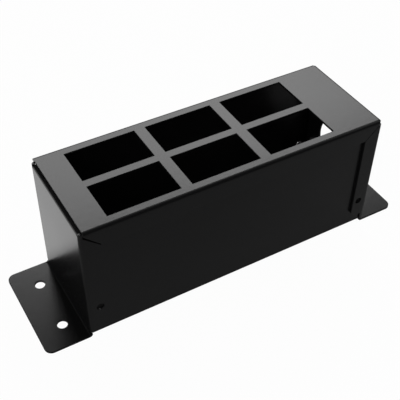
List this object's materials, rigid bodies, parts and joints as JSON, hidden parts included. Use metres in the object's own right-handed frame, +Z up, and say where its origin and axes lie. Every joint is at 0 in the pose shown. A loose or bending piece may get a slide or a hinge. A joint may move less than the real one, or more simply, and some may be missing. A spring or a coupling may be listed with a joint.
{
  "type": "desk power module housing",
  "caption": "Folded sheet-steel housing with rectangular cut-outs for snap-in outlet modules, an open underside, a round cable opening in one end and a screw-down foot at each end",
  "frame": {"origin": "middle of the footprint, on the surface that the undersides of the two feet rest on", "axes": "+Z up, +X along the length towards the end with the cable opening, +Y across the width to the back"},
  "size_m": [0.2164, 0.06, 0.0735],
  "materials": {
    "paint_top": "satin black powder coat on sheet steel",
    "paint_walls": "satin black powder coat on sheet steel"
  },
  "bodies": {
    "root": {"top_shell": "paint_top", "wall_shell": "paint_walls"}
  },
  "joints": []
}
